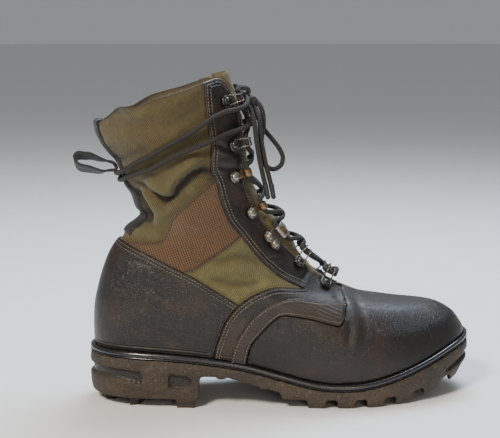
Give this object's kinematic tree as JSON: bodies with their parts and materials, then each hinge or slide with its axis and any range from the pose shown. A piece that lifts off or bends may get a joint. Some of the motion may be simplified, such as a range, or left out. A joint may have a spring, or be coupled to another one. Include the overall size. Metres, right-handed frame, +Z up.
{
  "type": "jungle boot",
  "caption": "Lace-up ankle-high boot for the right foot, with cloth shaft, leather foot, lugged sole and laces wrapped round the shaft.",
  "frame": {"origin": "on the ground, at the middle of the flat central lug under the heel", "axes": "+X towards the toe, +Y towards the inner side of the foot, +Z up"},
  "size_m": [0.3173, 0.1108, 0.259],
  "materials": {
    "leather": "smooth leather, polished and scuffed",
    "canvas": "woven cloth, worn",
    "ribbed": "ribbed cloth tape",
    "olive": "woven cloth, faded",
    "webbing": "narrow webbing",
    "rubber": "dusty moulded rubber",
    "bead": "glossy moulded rubber",
    "steel": "painted and worn steel",
    "lace": "braided cord",
    "lining": "plain lining"
  },
  "bodies": {
    "root": {"outsole": "rubber", "welt": "bead", "insole": "lining", "upper": "canvas", "tongue": "olive", "vamp": "leather", "counter": "leather", "backstay": "webbing", "pull_loop": "webbing", "lace_crossings": "lace", "lace_knot": "lace", "lace_wrap_outer": "lace", "lace_wrap_inner": "lace", "lace_bow": "lace", "lace_end_1": "lace", "lace_end_2": "lace", "quarter_lateral": "leather", "strap_lateral": "webbing", "ankle_patch_lateral": "ribbed", "side_panel_lateral": "olive", "lace_lock_lateral": "steel", "lace_loop_lateral_1": "steel", "lace_loop_lateral_2": "steel", "lace_loop_lateral_3": "steel", "lace_loop_lateral_4": "steel", "lace_loop_lateral_6": "steel", "lace_loop_lateral_7": "steel", "quarter_medial": "leather", "strap_medial": "webbing", "ankle_patch_medial": "ribbed", "side_panel_medial": "olive", "lace_lock_medial": "steel", "lace_loop_medial_1": "steel", "lace_loop_medial_2": "steel", "lace_loop_medial_3": "steel", "lace_loop_medial_4": "steel", "lace_loop_medial_6": "steel", "lace_loop_medial_7": "steel"}
  },
  "joints": []
}
